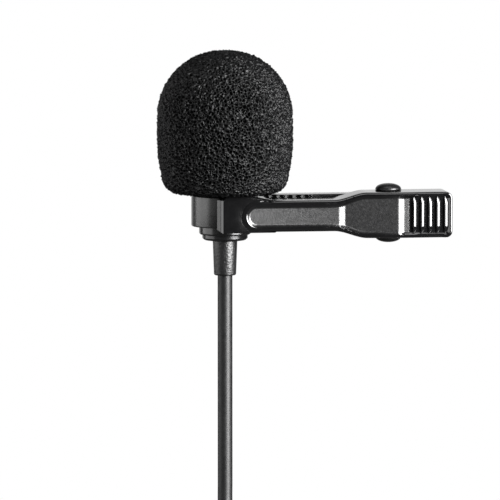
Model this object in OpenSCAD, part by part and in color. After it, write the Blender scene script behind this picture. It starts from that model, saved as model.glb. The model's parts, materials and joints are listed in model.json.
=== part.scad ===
// Lavalier microphone on a sprung clip, with a foam windscreen and a cable to a 3.5 mm plug.
// The origin is the point that the jaws grip: +X runs along the clip towards its grip, +Z up
// along the microphone, and the front jaw is on the -Y side.

/* [Microphone] */
// Distance from the gripped point back to the microphone's axis
mic_back = 10; // [9:0.1:12]
// Distance from the gripping plane to the microphone's axis
mic_side = 1.2; // [0.6:0.1:1.6]
// Outer diameter of the barrel
barrel_d = 8.3; // [6.8:0.1:10]
// Height of the barrel from the collar's lower edge to its open top
barrel_h = 14.4; // [13:0.1:18]
// Length of barrel below the collar
barrel_drop = 1.35; // [1:0.05:2.5]
// Wall of the barrel
barrel_wall = 0.45; // [0.35:0.05:0.6]
// Diameter of the end cap below the barrel
cap_d = 7.3; // [6:0.1:8]
// Height of the end cap below the barrel
cap_h = 0.9; // [0.7:0.05:1.6]
// Wall of the rubber sleeve between the barrel and the electret capsule
sleeve_wall = 0.7; // [0.5:0.05:0.9]
// Height of the electret capsule
capsule_h = 2.7; // [2.4:0.1:3.2]

/* [Windscreen] */
// Widest diameter of the foam
foam_d = 21.9; // [18:0.1:27]
// Height of the foam
foam_h = 23; // [20:0.1:28]
// Radial clearance of the foam on the barrel
foam_gap = 0.05; // [0.05:0.01:0.3]

/* [Clip] */
// Outer diameter of the collar that holds the microphone
collar_d = 10.8; // [10:0.1:12.9]
// Height of the collar
collar_h = 5; // [4:0.1:5.2]
// Height of the front jaw's narrow arm
arm_h = 5; // [4.2:0.1:6]
// Height of the front jaw's grip
grip_h = 7.3; // [6.6:0.1:8.8]
// Distance from the gripped point to the pivot's axis
pivot_x = 16; // [15:0.1:18]
// Distance from the pivot's axis to the end of the grip
grip_run = 9.6; // [9:0.1:12]
// Thickness of the clip's walls
clip_wall = 0.9; // [0.7:0.05:1.1]
// Pitch of the grip's ribs
rib_pitch = 1.27; // [1.1:0.01:1.3]
// Diameter of the rivet's shaft
rivet_d = 1.6; // [1.2:0.1:1.9]
// Diameter of the rivet's heads
rivet_head_d = 4.3; // [3.4:0.1:5]
// Wire diameter of the torsion spring
spring_wire = 0.5; // [0.3:0.05:0.6]

/* [Cable and plug] */
// Diameter of the cable
cable_d = 2.4; // [2:0.1:2.6]
// Length of the strain relief below the end cap
boot_h = 5.7; // [4:0.1:8]
// Diameter of the strain relief at its top
boot_d = 3.95; // [3.5:0.05:4.6]
// Diameter of the plug's metal contacts
plug_d = 3.5; // [2.5:0.1:3.5]
// Length of the plug's contacts, from the shell to the tip
plug_len = 14; // [11:0.5:15]
// Diameter of the plug's shell
shell_d = 7; // [6:0.1:9]
// Length of the plug's shell
shell_h = 17; // [14:0.5:25]

/* [Hidden] */
$fn = 64;
tiny = 0.01;
run_gap = 0.05;      // radial running clearance of a shaft in its bore

// Heights along the microphone
collar_z = -2;                            // lower edge of the collar
collar_top = collar_z + collar_h;
barrel_z = collar_z - barrel_drop;        // lower edge of the barrel
barrel_top = collar_z + barrel_h;
cap_z = barrel_z - cap_h;                 // lower face of the end cap
boot_z = cap_z - boot_h;                  // lower face of the strain relief
foam_z = max(collar_top, arm_h / 2 + 0.4) + 0.2;

// Radii in the microphone
barrel_r = barrel_d / 2;
bore_r = barrel_r - barrel_wall;
capsule_r = bore_r - sleeve_wall;
can_wall = 0.2;
can_in = capsule_r - can_wall;
grille_t = 0.6;                           // thickness of the grille cap's top
grille_h = 2.2;                           // height of the grille cap's skirt inside the barrel
grille_z = barrel_top - grille_h;
mesh_t = 0.2;
sleeve_h = capsule_h + 1;
sleeve_z = grille_z - mesh_t - sleeve_h;
capsule_z = sleeve_z + 0.5;               // lower face of the capsule
capsule_top = capsule_z + capsule_h;
board_t = 0.4;
holder_t = 0.9;
plate_t = 0.25;
spacer_t = 0.1;
film_t = 0.05;
ring_t = 0.3;
board_z = capsule_z + 0.1;
holder_z = board_z + board_t;
plate_z = holder_z + holder_t;
spacer_z = plate_z + plate_t;
film_z = spacer_z + spacer_t;
ring_z = film_z + film_t;
plug_r = plug_d / 2;

// The clip, along X from the gripped point
jaw_start = -mic_back + collar_d / 2 + 0.8;   // free end of the rear jaw
teeth_end = jaw_start + 8.7;
clip_end = pivot_x + grip_run;
arm_face = -5.6;                          // Y of the arm's front face
mid_face = -5.2;                          // Y of the middle part's face at its inner end
crest_face = -6.9;                        // Y of the middle part's face at its outer end
grip_face = -6.5;                         // Y of the grip's face between the ribs
bend_x = pivot_x - 8.5;                   // first bend of the front face
crest_x = pivot_x + 0.9;                  // second bend
step_run = 0.9;                           // length of each bend's sloping step
flare_x = pivot_x - 9.3;                  // where the arm begins to widen
wide_x = pivot_x - 4;                     // where it has its full height
pivot_y = -1.5;
block_top = collar_top + 0.45;
block_low = collar_z - 0.6;
rear_h = 2 * min(arm_h / 2 + 0.4, foam_z - 0.3);   // height of the rear jaw at its arm
ear_gap = 0.1;                            // side clearance between the ears and the front jaw's walls
ear_out = grip_h / 2 - clip_wall - ear_gap;
ear_t = 0.8;
rear_grip_h = 2 * (ear_out - 0.1);
rear_face = 3.6;                          // Y of the rear jaw's outer face at its arm
rear_grip_face = 5.6;                     // Y of the rear jaw's outer face at its grip
jaw_gap = 0.06;                           // half the gap between the closed jaws
tooth_pitch = 1.3;
tooth_h = 0.6;
rivet_head_h = 1.05;

// The cable's route: straight down, then over to the hank's front layer of turns. The offsets are
// from the microphone's axis
cable_r = cable_d / 2;
hank_z = -85;                             // height of the hank's middle
cable_route = at_axis([[0, 0, boot_z], [0, 0, -14], [0, 0, -20], [0, 0, -26], [0, 0, -32], [0, 0, -38],
    [0, 0, -44], [0, 0, -47], [0.2, -0.5, -50], [1.3, -1.9, -53], [2.9, -3.6, -56], [4.8, -5.1, -59],
    [6.7, -5.9, -62], [8.3, -6, -65], [9.4, -6, -68]]);
tail_route = at_axis([[9.4, 6, -102], [8.3, 6, -105], [6.7, 5.9, -108], [4.8, 5.1, -111], [2.9, 3.6, -114],
    [1.3, 1.9, -117], [0.2, 0.5, -120], [0, 0, -123], [0, 0, -126]]);
hank_h = 47.6;
hank_w = 21.6;
hank_t = 14.4;
tie_h = 6;
plug_boot_top = -126;
plug_boot_h = 6;
function at_axis(points) = [for (p = points) p + [-mic_back, mic_side, 0]];
shell_z = plug_boot_top - plug_boot_h - shell_h;
contact_gap = 0.6;                        // height of each insulator between contacts

module at_mic(z = 0) {
    translate([-mic_back, mic_side, z]) children();
}

module tube(r_out, r_in, h) {
    difference() {
        cylinder(r = r_out, h = h);
        translate([0, 0, -1]) cylinder(r = r_in, h = h + 2);
    }
}

// A round tube of eight sides swept along a list of points, with closed ends
function unit(v) = v / norm(v);
function heading(p, i) = unit(p[min(i + 1, len(p) - 1)] - p[max(i - 1, 0)]);
module swept_tube(points, r, up = [1, 0, 0], sides = 8) {
    n = len(points);
    rings = [for (i = [0:n - 1])
        let (t = heading(points, i), a = unit(cross(t, abs(t * up) > 0.9 ? [0, 1, 0] : up)), b = cross(t, a))
        for (k = [0:sides - 1]) points[i] + r * (cos(360 * k / sides) * a + sin(360 * k / sides) * b)];
    walls = [for (i = [0:n - 2]) for (k = [0:sides - 1])
        let (j = (k + 1) % sides)
        [i * sides + k, (i + 1) * sides + k, (i + 1) * sides + j, i * sides + j]];
    first = [for (k = [0:sides - 1]) k];
    last = [for (k = [sides - 1:-1:0]) (n - 1) * sides + k];
    polyhedron(points = rings, faces = concat(walls, [first, last]), convexity = 6);
}

// Foam windscreen: a dome on a slightly narrowing skirt, hollow to sit over the barrel. A shallow
// dish under it clears the head block as the microphone turns
module foam_windscreen() {
    r = foam_d / 2;
    dome_z = foam_h - r * 0.99;
    hole_r = barrel_r + foam_gap;
    hole_h = barrel_top - foam_z + grille_t + 0.1;
    skirt = concat([for (a = [0:15:90]) [r * 0.7 + r * 0.24 * sin(a), r * 0.27 * (1 - cos(a))]],
                   [[r * 0.985, foam_h * 0.25], [r, foam_h * 0.36]]);
    dome = [for (a = [0:7.5:82.5]) [r * pow(cos(a), 0.94), dome_z + (foam_h - dome_z) * sin(a)]];
    color("dimgray") at_mic(foam_z) difference() {
        rotate_extrude() polygon(concat([[0, 0]], skirt, dome, [[0, foam_h]]));
        translate([0, 0, -1]) cylinder(r = hole_r, h = hole_h + 1);
        translate([0, 0, -1]) cylinder(r = r * 0.69, h = block_top - foam_z + 1.1);
    }
}

// Grille cap: a shallow cup with sound holes, its skirt pressed inside the barrel
module grille_cap() {
    hole_r = 0.35;
    color("dimgray") at_mic(grille_z) difference() {
        union() {
            cylinder(r = bore_r, h = grille_h);
            translate([0, 0, grille_h]) cylinder(r1 = barrel_r - 0.05, r2 = barrel_r - 0.4, h = grille_t);
        }
        translate([0, 0, -1]) cylinder(r = bore_r - 0.4, h = grille_h + 1);
        translate([0, 0, grille_h - 1]) {
            cylinder(r = hole_r, h = 3);
            for (k = [0:5]) rotate(60 * k) translate([bore_r * 0.31, 0, 0]) cylinder(r = hole_r, h = 3);
            for (k = [0:11]) rotate(30 * k + 15) translate([bore_r * 0.62, 0, 0]) cylinder(r = hole_r, h = 3);
        }
    }
}

// Fine mesh disc behind the grille's holes, resting on the capsule's sleeve
module grille_mesh() {
    color("silver") at_mic(grille_z - mesh_t) cylinder(r = bore_r, h = mesh_t);
}

// Barrel: the tube that the clip's collar holds
module mic_barrel() {
    color("dimgray") at_mic(barrel_z) tube(barrel_r, bore_r, barrel_top - barrel_z);
}

// Rubber sleeve round the capsule, with a lip under it and one above it
module capsule_sleeve() {
    color("dimgray") at_mic(sleeve_z) difference() {
        cylinder(r = bore_r, h = sleeve_h);
        translate([0, 0, -1]) cylinder(r = capsule_r - 0.6, h = sleeve_h + 2);
        translate([0, 0, capsule_z - sleeve_z]) cylinder(r = capsule_r, h = capsule_h);
    }
}

// Felt disc over the capsule's sound hole
module capsule_felt() {
    color("dimgray") at_mic(capsule_top) cylinder(r = capsule_r - 0.7, h = 0.3);
}

// Capsule can: a cup with a sound hole in its face, rolled in under the board
module capsule_can() {
    color("silver") at_mic(capsule_z) difference() {
        cylinder(r = capsule_r, h = capsule_h);
        translate([0, 0, board_z - capsule_z]) cylinder(r = can_in, h = ring_z + ring_t - board_z);
        translate([0, 0, -1]) cylinder(r = can_in - 0.5, h = 2);
        translate([0, 0, capsule_h - 1.5]) cylinder(r = 1, h = 3);
    }
}

// Brass ring that the film is stretched on
module diaphragm_ring() {
    color("gold") at_mic(ring_z) tube(can_in, can_in - 0.4, ring_t);
}

// Stretched film that the sound moves
module diaphragm() {
    color("khaki") at_mic(film_z) cylinder(r = can_in, h = film_t);
}

// Thin ring that keeps the film off the backplate
module spacer_ring() {
    color("white") at_mic(spacer_z) tube(can_in, can_in - 0.4, spacer_t);
}

// Charged plate behind the film, with vent holes
module backplate() {
    color("gold") at_mic(plate_z) difference() {
        cylinder(r = can_in - 0.1, h = plate_t);
        for (k = [0:3]) rotate(90 * k) translate([1.3, 0, -1]) cylinder(r = 0.35, h = 3);
    }
}

// Insulating ring between the backplate and the board
module backplate_holder() {
    color("white") at_mic(holder_z) tube(can_in, can_in - 0.5, holder_t);
}

// Round circuit board that closes the capsule
module capsule_board() {
    color("darkgreen") at_mic(board_z) cylinder(r = can_in, h = board_t);
}

// Field-effect transistor on the board, under the backplate
module fet_chip() {
    color("black") at_mic(holder_z) translate([-0.7, -0.6, 0]) cube([1.4, 1.2, 0.6]);
}

// Two insulated wires from the board down to the cable's cut end
module signal_wires() {
    wire_r = 0.3;
    color("firebrick") at_mic() for (side = [-1, 1])
        translate([side * 0.7, 0, ferrule_top]) cylinder(r = wire_r, h = board_z - ferrule_top, $fn = 24);
}

// End cap: closes the barrel's lower end, with a spigot pressed inside it
spigot_h = 3;
neck_r = boot_d / 2 - 0.55;               // neck of the boot inside the end cap
module end_cap() {
    color("dimgray") at_mic() difference() {
        union() {
            translate([0, 0, cap_z + 0.25]) cylinder(r = cap_d / 2, h = cap_h - 0.25);
            translate([0, 0, cap_z]) cylinder(r1 = cap_d / 2 - 0.25, r2 = cap_d / 2, h = 0.25);
            translate([0, 0, barrel_z]) cylinder(r = bore_r, h = spigot_h);
        }
        translate([0, 0, cap_z - 1]) cylinder(r = neck_r, h = cap_h + spigot_h + 2);
        translate([0, 0, barrel_z + 0.8]) cylinder(r = bore_r - 0.9, h = spigot_h);
    }
}

// Ferrule crimped on the cable above the end cap's floor
ferrule_z = barrel_z + 0.8;
ferrule_h = 2.4;
ferrule_top = ferrule_z + ferrule_h;
module cable_ferrule() {
    color("gold") at_mic(ferrule_z) cylinder(r = min(neck_r + 0.5, bore_r - 1), h = ferrule_h);
}

// Strain relief: a tapered boot with a neck held in the end cap
module strain_relief() {
    low_r = boot_d / 2 - 0.2;
    edge = 0.35;
    color("dimgray") at_mic() {
        rotate_extrude() polygon([[0, boot_z], [low_r - edge, boot_z], [low_r - edge * 0.3, boot_z + edge * 0.3],
            [low_r, boot_z + edge], [boot_d / 2, cap_z], [neck_r, cap_z], [neck_r, ferrule_z], [0, ferrule_z]]);
    }
}

// Height of the front jaw along X, as one outline seen from the front
module jaw_outline(inset = 0) {
    a = arm_h / 2 - inset;
    g = grip_h / 2 - inset;
    round_r = 1;
    left = -mic_back + 2 + inset;
    right = clip_end - inset;
    polygon(concat(
        [[left, -a], [flare_x, -a]],
        [for (t = [0.1:0.1:0.9]) let (s = t * t * (3 - 2 * t)) [flare_x + (wide_x - flare_x) * t, -a - (g - a) * s]],
        [[wide_x, -g]],
        [for (k = [0:15:90]) [right - round_r + round_r * sin(k), -g + round_r - round_r * cos(k)]],
        [for (k = [0:15:90]) [right - round_r + round_r * cos(k), g - round_r + round_r * sin(k)]],
        [[wide_x, g]],
        [for (t = [0.9:-0.1:0.1]) let (s = t * t * (3 - 2 * t)) [flare_x + (wide_x - flare_x) * t, a + (g - a) * s]],
        [[flare_x, a], [left, a]]));
}

// Front face of the front jaw in plan; push moves it back into the jaw
function face_line(push) = [
    [-mic_back + 2, arm_face + push], [bend_x, arm_face - 0.2 + push], [bend_x + step_run, mid_face + push],
    [crest_x, crest_face + push], [crest_x + step_run, grip_face + push], [clip_end, grip_face - 0.1 + push]];

// Plan of the front jaw between its front face and the gripping plane
module jaw_plan(push, back, from = -mic_back + 2) {
    intersection() {
        polygon(concat(face_line(push), [[clip_end, back], [-mic_back + 2, back]]));
        translate([from, -20]) square([clip_end - from, 40]);
    }
}

// A row of teeth that points towards +Y, over a run of X
module teeth(from, to, depth, high) {
    count = floor((to - from) / tooth_pitch);
    translate([0, 0, -high / 2]) linear_extrude(high)
        for (k = [0:count - 1]) translate([from + k * tooth_pitch, 0])
            polygon([[0, 0], [tooth_pitch, 0], [tooth_pitch / 2, depth]]);
}

// Front jaw: collar, head block, arm, pivot walls and ribbed grip in one moulding
module front_jaw() {
    back = -jaw_gap;
    color("dimgray") difference() {
        union() {
            at_mic(collar_z) cylinder(r = collar_d / 2, h = collar_h);
            head_block();
            intersection() {
                rotate([90, 0, 0]) translate([0, 0, -10]) linear_extrude(20) jaw_outline();
                difference() {
                    translate([0, 0, -grip_h]) linear_extrude(2 * grip_h) jaw_plan(0, back - tooth_h);
                    jaw_hollow();
                }
            }
            translate([0, back - tooth_h - tiny, 0]) teeth(jaw_start, teeth_end, tooth_h + tiny, arm_h);
            for (side = [-1, 1]) pivot_boss(side, ear_out + ear_gap, clip_wall, arm_face);
            ribs();
        }
        face_panel();
        at_mic(collar_z - 1) cylinder(r = barrel_r + run_gap, h = collar_h + 10);
        translate([pivot_x, pivot_y, -grip_h]) cylinder(r = rivet_d / 2 + run_gap, h = 2 * grip_h);
    }
}

// Block that joins the collar to the arm, with a bevelled left edge and a top that slopes down to the arm
module head_block() {
    left = -mic_back - 2;
    step = 0.42;
    right = -mic_back + 8.5;
    back_x = jaw_start - 0.4;             // the block stays clear of the rear jaw's free end
    difference() {
        block_shape(left, step, right, back_x);
        translate([left - 1, mic_side - 4.7, collar_top]) cube([mic_back + right, collar_d, 2]);
    }
}

module block_shape(left, step, right, back_x) {
    intersection() {
        translate([0, 0, block_low]) linear_extrude(block_top - block_low) polygon([
            [left, mic_side - 3], [left, arm_face + 1.3], [left + step, arm_face + 0.9],
            [left + step, arm_face + 0.3], [left + 2 * step, arm_face - 0.1], [-mic_back + 0.6, arm_face - 0.1],
            [-mic_back + 2, arm_face + 0.6], [right, arm_face + 0.6], [right, -jaw_gap - tooth_h],
            [back_x, -jaw_gap - tooth_h], [-mic_back + 4.4, mic_side]]);
        rotate([90, 0, 0]) translate([0, 0, -10]) linear_extrude(20) polygon([
            [left, block_low + 0.5], [left + 0.6, block_low], [right, -arm_h / 2], [right, arm_h / 2 - 0.2],
            [-mic_back + 2, block_top], [left + 1, block_top], [left, block_top - 0.8]]);
    }
}

// Hollow of the front jaw, open at the back, behind its front wall
module jaw_hollow() {
    intersection() {
        rotate([90, 0, 0]) translate([0, 0, -10]) linear_extrude(20) jaw_outline(clip_wall);
        translate([0, 0, -grip_h]) linear_extrude(2 * grip_h) jaw_plan(clip_wall, 5, teeth_end + 0.6);
    }
}

// Shallow panels pressed into the front face
module face_panel() {
    depth = 0.3;
    rim = 0.85;
    arm_left = -mic_back + 3;
    translate([0, arm_face - 0.1 + depth, 0]) rotate([90, 0, 0]) linear_extrude(3) {
        translate([arm_left + 1.4, 0]) intersection() {
            circle(r = arm_h / 2 - rim);
            translate([-5, -5]) square([5.01, 10]);
        }
        translate([arm_left + 1.4, -arm_h / 2 + rim]) square([bend_x - arm_left - 1.4, arm_h - 2 * rim]);
    }
}

// Raised ribs across the grip
module ribs() {
    count = 5;
    rib_r = 0.5;
    span = grip_h - 1;
    for (k = [0:count - 1]) translate([clip_end - 1.45 - k * rib_pitch, grip_face + 0.15, -span / 2])
        cylinder(r = rib_r, h = span);
}

// Rear jaw: a hollow arm behind the front one, with ears on the rivet
module rear_jaw() {
    a = rear_h / 2;
    g = rear_grip_h / 2;
    tip = jaw_start;
    tail = clip_end - 0.6;
    plan = [[tip, jaw_gap + tooth_h], [tip, rear_face - 0.8], [tip + 0.8, rear_face], [pivot_x - 6, rear_face],
            [pivot_x + 2, rear_grip_face], [tail - 0.5, rear_grip_face], [tail, rear_grip_face - 0.5],
            [tail, rear_grip_face - 2], [pivot_x + 3, rear_grip_face - 2.4], [pivot_x, jaw_gap + tooth_h]];
    inner = [[teeth_end + 0.6, -9], [teeth_end + 0.6, rear_face - clip_wall], [pivot_x - 6, rear_face - clip_wall],
             [pivot_x + 2, rear_grip_face - clip_wall], [tail - clip_wall, rear_grip_face - clip_wall],
             [tail - clip_wall, -9]];
    color("dimgray") difference() {
        union() {
            intersection() {
                translate([0, 0, -a]) linear_extrude(2 * a) polygon(plan);
                rotate([90, 0, 0]) translate([0, 0, -10]) linear_extrude(20) rear_outline(a, g, tail);
            }
            for (side = [-1, 1]) pivot_boss(side, ear_out - ear_t, ear_t, rear_face - 0.5);
            mirror([0, 1, 0]) translate([0, -jaw_gap - tooth_h - tiny, 0])
                teeth(tip, teeth_end, tooth_h + tiny, rear_h);
        }
        translate([0, 0, -g + ear_t]) linear_extrude(2 * (g - ear_t)) polygon(inner);
        translate([pivot_x, pivot_y, -grip_h]) cylinder(r = rivet_d / 2 + run_gap, h = 2 * grip_h);
    }
}

// Rear jaw seen from behind: its arm narrows to a grip that fits inside the front one
module rear_outline(a, g, tail) {
    polygon([[jaw_start, -a], [pivot_x - 4.5, -a], [pivot_x - 3, -g], [tail, -g],
             [tail, g], [pivot_x - 3, g], [pivot_x - 4.5, a], [jaw_start, a]]);
}

// One round wall about the rivet, from height low outwards, joined to its jaw at the Y of reach
module pivot_boss(side, low, thick, reach) {
    r = 1.75;
    translate([0, 0, side > 0 ? low : -low - thick]) linear_extrude(thick) {
        translate([pivot_x, pivot_y]) circle(r);
        translate([pivot_x - r, min(pivot_y, reach)]) square([2 * r, abs(reach - pivot_y)]);
    }
}

// Rivet through both jaws, with a domed head at each end
module pivot_rivet() {
    half = grip_h / 2 + 0.02;
    ball_r = (pow(rivet_head_d / 2, 2) + pow(rivet_head_h, 2)) / (2 * rivet_head_h);
    color("dimgray") translate([pivot_x, pivot_y, 0]) {
        translate([0, 0, -half]) cylinder(r = rivet_d / 2, h = 2 * half);
        for (side = [0, 1]) mirror([0, 0, side]) translate([0, 0, half]) intersection() {
            translate([0, 0, rivet_head_h - ball_r]) sphere(r = ball_r);
            cylinder(r = rivet_head_d / 2, h = rivet_head_h);
        }
    }
}

// Torsion spring: turns round the rivet, one leg under each grip
spring_turns = 4.5;
spring_r = rivet_d / 2 + 0.25 + spring_wire / 2;
spring_leg = grip_run * 0.64;
function spring_point(t) = [pivot_x + spring_r * cos(-90 - t), pivot_y + spring_r * sin(-90 - t),
    spring_wire * 1.3 * (t / 360 - spring_turns / 2)];
module torsion_spring() {
    turns = [for (t = [0:30:360 * spring_turns]) spring_point(t)];
    low = turns[0][2];
    front_y = grip_face + clip_wall + spring_wire / 2 + 0.1;
    back_y = rear_grip_face - clip_wall - spring_wire / 2 - 0.1;
    front_leg = [[pivot_x + spring_leg, front_y, low],
                 [pivot_x + spring_leg / 2, (front_y + pivot_y - spring_r) / 2 - 0.2, low]];
    back_leg = [[pivot_x + spring_leg / 2, (back_y + pivot_y + spring_r) / 2 - 0.2, -low],
                [pivot_x + spring_leg, back_y, -low]];
    color("silver") swept_tube(concat(front_leg, turns, back_leg), spring_wire / 2, up = [0, 0, 1]);
}

// Cable from the strain relief down to the hank
module cable() {
    color("dimgray") swept_tube(cable_route, cable_r);
}

// Hank: the stored length of the cable, wound in long loops with round ends
module cable_hank() {
    end_r = hank_w / 2;
    color("dimgray") at_mic(hank_z - hank_h / 2) rotate([90, 0, 0]) translate([0, end_r, -hank_t / 2])
        linear_extrude(hank_t) {
            circle(r = end_r);
            translate([0, hank_h - hank_w]) circle(r = end_r);
            translate([-end_r, 0]) square([hank_w, hank_h - hank_w]);
        }
}

// Tie round the middle of the hank
module hank_tie() {
    t = 0.8;
    w = hank_w + 2 * t;
    d = hank_t + 2 * t;
    color("black") at_mic(hank_z - tie_h / 2) linear_extrude(tie_h) difference() {
        square([w, d], center = true);
        square([hank_w, hank_t], center = true);
    }
}

// Last length of cable, from the hank to the plug
module cable_tail() {
    color("dimgray") swept_tube(tail_route, cable_r);
}

// Tapered boot where the cable enters the plug
module plug_boot() {
    color("dimgray") at_mic(plug_boot_top - plug_boot_h)
        cylinder(r1 = shell_d / 2 - 0.6, r2 = cable_r + 0.5, h = plug_boot_h);
}

// Plug's shell, a moulded grip with a bevel at each end
module plug_shell() {
    r = shell_d / 2;
    edge = 0.5;
    color("dimgray") at_mic(shell_z) rotate_extrude() polygon([[0, 0], [r - edge, 0], [r, edge],
        [r, shell_h - edge], [r - edge, shell_h], [0, shell_h]]);
}

// Contacts of the plug, from the shell down: sleeve, two rings and the tip
ring_len = (plug_len - 3.6) * 0.17;
sleeve_len = plug_len - 3.6 - 2 * ring_len - 3 * contact_gap;
sleeve_low = shell_z - sleeve_len;
upper_low = sleeve_low - contact_gap - ring_len;
lower_low = upper_low - contact_gap - ring_len;
tip_top = lower_low - contact_gap;
module plug_sleeve() {
    color("gold") at_mic(sleeve_low) cylinder(r = plug_r, h = sleeve_len);
}
module plug_ring_upper() {
    color("gold") at_mic(upper_low) cylinder(r = plug_r, h = ring_len);
}
module plug_ring_lower() {
    color("gold") at_mic(lower_low) cylinder(r = plug_r, h = ring_len);
}

// Tip contact: a cone, a groove that the jack's spring holds, and a rounded end
module plug_tip() {
    r = plug_r;
    end = shell_z - plug_len - tip_top;
    color("gold") at_mic(tip_top) rotate_extrude() polygon([[0, 0], [r, 0], [r, -0.5], [r * 0.66, -1.5],
        [r * 0.66, -1.7], [r, -2.5], [r * 0.82, end + 0.5], [r * 0.4, end], [0, end]]);
}

// Three insulating rings between the contacts
module plug_insulators() {
    color("white") at_mic() for (low = [sleeve_low, upper_low, lower_low])
        translate([0, 0, low - contact_gap]) cylinder(r = plug_r, h = contact_gap);
}

foam_windscreen();
grille_cap();
grille_mesh();
mic_barrel();
capsule_sleeve();
capsule_felt();
capsule_can();
diaphragm_ring();
diaphragm();
spacer_ring();
backplate();
backplate_holder();
capsule_board();
fet_chip();
signal_wires();
end_cap();
cable_ferrule();
strain_relief();
front_jaw();
rear_jaw();
pivot_rivet();
torsion_spring();
cable();
cable_hank();
hank_tie();
cable_tail();
plug_boot();
plug_shell();
plug_sleeve();
plug_ring_lower();
plug_ring_upper();
plug_tip();
plug_insulators();
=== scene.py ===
# %% [markdown]
# A lavalier microphone
#
# A small microphone in a foam windscreen stands in the collar of a sprung clip, and its thin cable
# ends in a jack plug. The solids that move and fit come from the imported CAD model. This script
# gives every visible piece its finished shape and its finish: moulded plastic with soft edges,
# real open-cell foam, a wound cable and coated metal.

# %% The frame
import json
import math
import bmesh
import bpy
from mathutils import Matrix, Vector


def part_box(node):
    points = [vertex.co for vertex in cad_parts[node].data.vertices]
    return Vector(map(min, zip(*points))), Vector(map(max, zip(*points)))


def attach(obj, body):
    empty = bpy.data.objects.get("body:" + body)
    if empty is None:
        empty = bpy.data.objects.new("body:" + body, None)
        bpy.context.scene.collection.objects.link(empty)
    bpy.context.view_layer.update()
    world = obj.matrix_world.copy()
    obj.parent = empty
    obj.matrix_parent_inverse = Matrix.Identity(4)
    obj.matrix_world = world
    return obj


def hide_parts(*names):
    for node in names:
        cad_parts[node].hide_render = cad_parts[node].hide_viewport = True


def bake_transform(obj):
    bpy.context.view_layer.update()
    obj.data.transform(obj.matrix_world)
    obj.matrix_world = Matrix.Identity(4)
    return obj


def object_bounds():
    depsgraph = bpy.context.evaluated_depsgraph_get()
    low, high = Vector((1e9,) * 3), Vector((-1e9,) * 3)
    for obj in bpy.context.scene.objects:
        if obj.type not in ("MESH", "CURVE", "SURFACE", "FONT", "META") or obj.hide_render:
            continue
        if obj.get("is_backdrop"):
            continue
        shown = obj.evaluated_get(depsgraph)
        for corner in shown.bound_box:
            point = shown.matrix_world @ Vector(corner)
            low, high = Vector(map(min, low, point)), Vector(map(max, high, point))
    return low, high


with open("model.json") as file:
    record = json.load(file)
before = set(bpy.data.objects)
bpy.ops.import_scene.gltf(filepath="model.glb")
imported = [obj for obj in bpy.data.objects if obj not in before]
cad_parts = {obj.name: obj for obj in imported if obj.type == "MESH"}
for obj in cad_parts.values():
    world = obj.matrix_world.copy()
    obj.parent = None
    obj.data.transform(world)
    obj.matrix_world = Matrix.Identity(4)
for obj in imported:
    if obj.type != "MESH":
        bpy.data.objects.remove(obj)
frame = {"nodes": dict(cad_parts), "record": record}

MM = 0.001
cad_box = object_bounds()


def box_mm(node):
    """The lower and the upper corner of a CAD node's box, in millimetres."""
    return [Vector(corner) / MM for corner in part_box(node)]


def middle(node):
    """The centre of a CAD node's box."""
    low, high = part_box(node)
    return (Vector(low) + Vector(high)) / 2


def in_scene(name, data):
    """A new object in the scene's collection."""
    made = bpy.data.objects.new(name, data)
    bpy.context.collection.objects.link(made)
    return made


AXIS = middle("mic_barrel")
MIC = AXIS / MM
print("the microphone's axis is at x, y in mm:", round(MIC.x, 2), round(MIC.y, 2))

# %% [markdown]
# The camera
#
# A product shot of something this small is taken with a long lens from about a metre away, so that
# upright lines stay upright. The camera looks slightly down, and from a little to the left.

# %% The camera
VIEW_AZIMUTH = -8
VIEW_ELEVATION = 6
VIEW_WIDTH = 80 * MM
VIEW_RIGHT = 4.0 * MM      # the view's middle is that far to the right of the collar's
VIEW_DROP = 6.3 * MM       # and that far below it
COLLAR_MIDDLE = 0.4 * MM
CAMERA_FAR = 1.0
SENSOR = 36


def view_axes(azimuth, elevation):
    """Right, up and forward of a camera that looks from there."""
    a, e = math.radians(azimuth), math.radians(elevation)
    right = Vector((math.cos(a), math.sin(a), 0))
    forward = Vector((-math.sin(a) * math.cos(e), math.cos(a) * math.cos(e), -math.sin(e)))
    return right, right.cross(forward), forward


right, up, forward = view_axes(VIEW_AZIMUTH, VIEW_ELEVATION)
target = Vector((AXIS.x, AXIS.y, COLLAR_MIDDLE)) + right * VIEW_RIGHT - up * VIEW_DROP
camera_data = bpy.data.cameras.new("camera")
camera_data.sensor_width = SENSOR
camera_data.lens = SENSOR * CAMERA_FAR / VIEW_WIDTH
camera_data.clip_start = 0.01
camera_data.clip_end = 20
camera = in_scene("camera", camera_data)
camera.location = target - forward * CAMERA_FAR
camera.rotation_euler = forward.to_track_quat("-Z", "Y").to_euler()
bpy.context.scene.camera = camera
print("camera lens", round(camera_data.lens), "mm")

# %% [markdown]
# Materials
#
# Each finish is one Principled shader with its own small-scale detail: mottled roughness, a fine grain
# and a colour that varies a little. It is noise on Object coordinates, so a pattern keeps its size in
# metres and stays on its piece.

# %% Helpers for materials
SHADER = "Principled BSDF"
COAT_ROUGHNESS = 0.15
SHEEN_ROUGHNESS = 0.5


def add_node(tree, kind, inputs=None, **settings):
    """A node with its settings and then its inputs, each one a value or another node's output."""
    made = tree.nodes.new(kind)
    for name, value in settings.items():
        setattr(made, name, value)
    for name, value in (inputs or {}).items():
        if isinstance(value, bpy.types.NodeSocket):
            tree.links.new(value, made.inputs[name])
        else:
            made.inputs[name].default_value = value
    return made


def math_node(tree, operation, one, other):
    """One number made from two."""
    return add_node(tree, "ShaderNodeMath", {0: one, 1: other}, operation=operation).outputs["Value"]


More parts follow.
